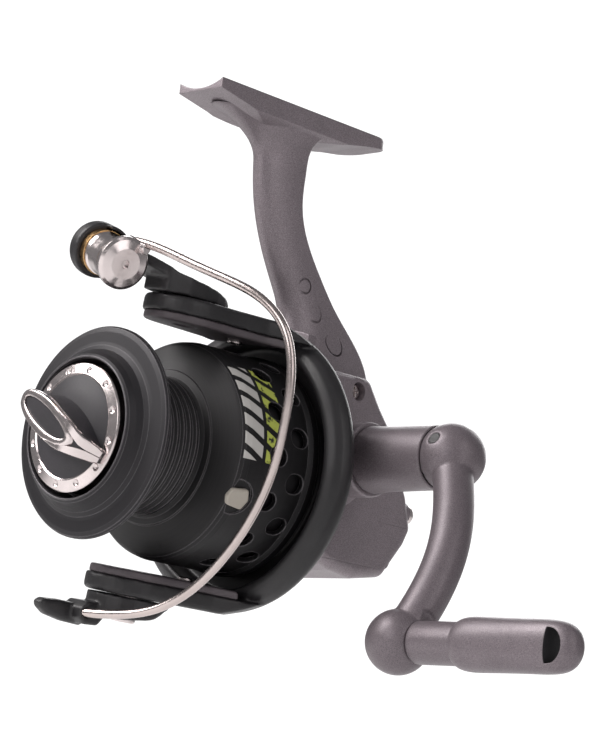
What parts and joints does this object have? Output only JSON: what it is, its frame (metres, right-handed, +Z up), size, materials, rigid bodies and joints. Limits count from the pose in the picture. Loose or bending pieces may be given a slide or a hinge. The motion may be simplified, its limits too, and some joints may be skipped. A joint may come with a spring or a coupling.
{
  "type": "spinning fishing reel",
  "caption": "Open-face spinning fishing reel with a folding bail, front drag, rotor, oscillating spool, face-gear drive, folding crank handle and a foot for the rod.",
  "frame": {"origin": "on the main shaft's axis, where the drive gear's axis crosses over it", "axes": "+X towards the handle side, -Y forward along the main shaft to the line side, +Z up to the rod foot"},
  "size_m": [0.1476, 0.1136, 0.1397],
  "materials": {
    "body_paint": "satin warm gunmetal paint with a fine metallic grain",
    "spool_paint": "satin charcoal anodising, bright turned edges",
    "rotor_body": "satin near-black moulding",
    "black_gloss": "gloss black moulding",
    "plated": "polished nickel plate",
    "steel": "ground or plated steel",
    "brass": "machined brass",
    "cast_zinc": "die-cast zinc alloy, machined teeth",
    "nylon": "natural nylon",
    "clip_grey": "beige-grey moulding",
    "felt": "pressed oiled felt"
  },
  "bodies": {
    "body": {"body_housing": "body_paint", "side_cover": "body_paint", "rear_cap": "body_paint", "side_cover_screws": "plated", "rear_cap_screw": "plated", "slider_guide_rod": "steel", "pinion_bearing_outer_race": "steel", "pinion_bearing_balls": "steel", "clutch_housing": "cast_zinc", "clutch_rollers": "steel", "clutch_retainer": "steel", "clutch_screws": "plated", "drive_bush_left": "brass", "drive_bush_right": "brass", "oscillation_post": "steel"},
    "drive": {"drive_gear": "cast_zinc", "oscillation_pinion": "brass", "handle_rod": "steel", "handle_tube": "body_paint", "handle_lock_cap": "black_gloss"},
    "handle": {"handle_arm": "body_paint", "fold_pin": "steel", "knob_spindle": "steel"},
    "knob": {"handle_knob": "body_paint"},
    "rotor": {"rotor": "rotor_body", "rotor_nut": "steel", "rotor_nut_lock": "steel", "rotor_nut_lock_screw": "plated", "rotor_arm_cover_top": "rotor_body", "rotor_arm_cover_bottom": "rotor_body", "arm_cover_screws": "plated", "bail_pivot_screws": "plated", "bail_spring": "steel", "pinion": "brass", "clutch_sleeve": "steel", "pinion_bearing_inner_race": "steel"},
    "bail": {"bail_arm": "rotor_body", "bail_cone": "plated", "bail_wire": "steel", "bail_holder": "rotor_body", "line_roller_pin": "steel"},
    "roller": {"line_roller": "plated", "line_roller_bush": "brass"},
    "shaft": {"main_shaft": "steel", "slider": "nylon", "slider_pin": "steel", "drag_key_washer": "steel"},
    "spool": {"spool": "spool_paint", "line_clip": "clip_grey", "drag_felt_washers": "felt", "drag_clip_ring": "steel"},
    "drag_knob": {"drag_knob_ring": "plated", "drag_knob": "black_gloss", "drag_knob_loop": "plated", "drag_nut": "brass", "drag_spring": "steel"},
    "oscillation": {"oscillation_gear": "nylon"},
    "anti_reverse": {"anti_reverse_lever": "black_gloss"}
  },
  "joints": [
    {"name": "handle_spin", "type": "hinge", "parent": "body", "child": "drive", "pos_m": [0, 0, 0.0046], "axis": [1, 0, 0], "continuous": true},
    {"name": "handle_fold", "type": "hinge", "parent": "drive", "child": "handle", "pos_m": [0.0515, 0, 0.0046], "axis": [0, -0.8986, 0.4387], "range_deg": [0, 90]},
    {"name": "knob_spin", "type": "hinge", "parent": "handle", "child": "knob", "pos_m": [0.0605, -0.02259, -0.04168], "axis": [1, 0, 0], "continuous": true},
    {"name": "rotor_spin", "type": "hinge", "parent": "body", "child": "rotor", "pos_m": [0, 0, 0], "axis": [0, 1, 0], "continuous": true},
    {"name": "bail_flip", "type": "hinge", "parent": "rotor", "child": "bail", "pos_m": [0, -0.046, 0], "axis": [-0.1392, 0, -0.9903], "range_deg": [0, 110]},
    {"name": "roller_spin", "type": "hinge", "parent": "bail", "child": "roller", "pos_m": [0.00669, -0.07, 0.03895], "axis": [0.9142, -0.1947, -0.3554], "continuous": true},
    {"name": "spool_slide", "type": "slide", "parent": "body", "child": "shaft", "axis": [0, -1, 0], "range_m": [-0.003, 0.009]},
    {"name": "spool_spin", "type": "hinge", "parent": "shaft", "child": "spool", "pos_m": [0, 0, 0], "axis": [0, 1, 0], "continuous": true},
    {"name": "drag_knob_turn", "type": "hinge", "parent": "shaft", "child": "drag_knob", "pos_m": [0, 0, 0], "axis": [0, 1, 0], "range_deg": [-90, 270]},
    {"name": "oscillation_spin", "type": "hinge", "parent": "body", "child": "oscillation", "pos_m": [0, 0.013, -0.00226], "axis": [1, 0, 0], "continuous": true},
    {"name": "anti_reverse_turn", "type": "hinge", "parent": "body", "child": "anti_reverse", "pos_m": [-0.008, -0.0096, -0.0246], "axis": [0, 1, 0], "range_deg": [-20, 20]}
  ],
  "couplings": [
    {"joint": "rotor_spin", "follows": "handle_spin", "ratio": 5},
    {"joint": "oscillation_spin", "follows": "handle_spin", "ratio": -0.5}
  ]
}
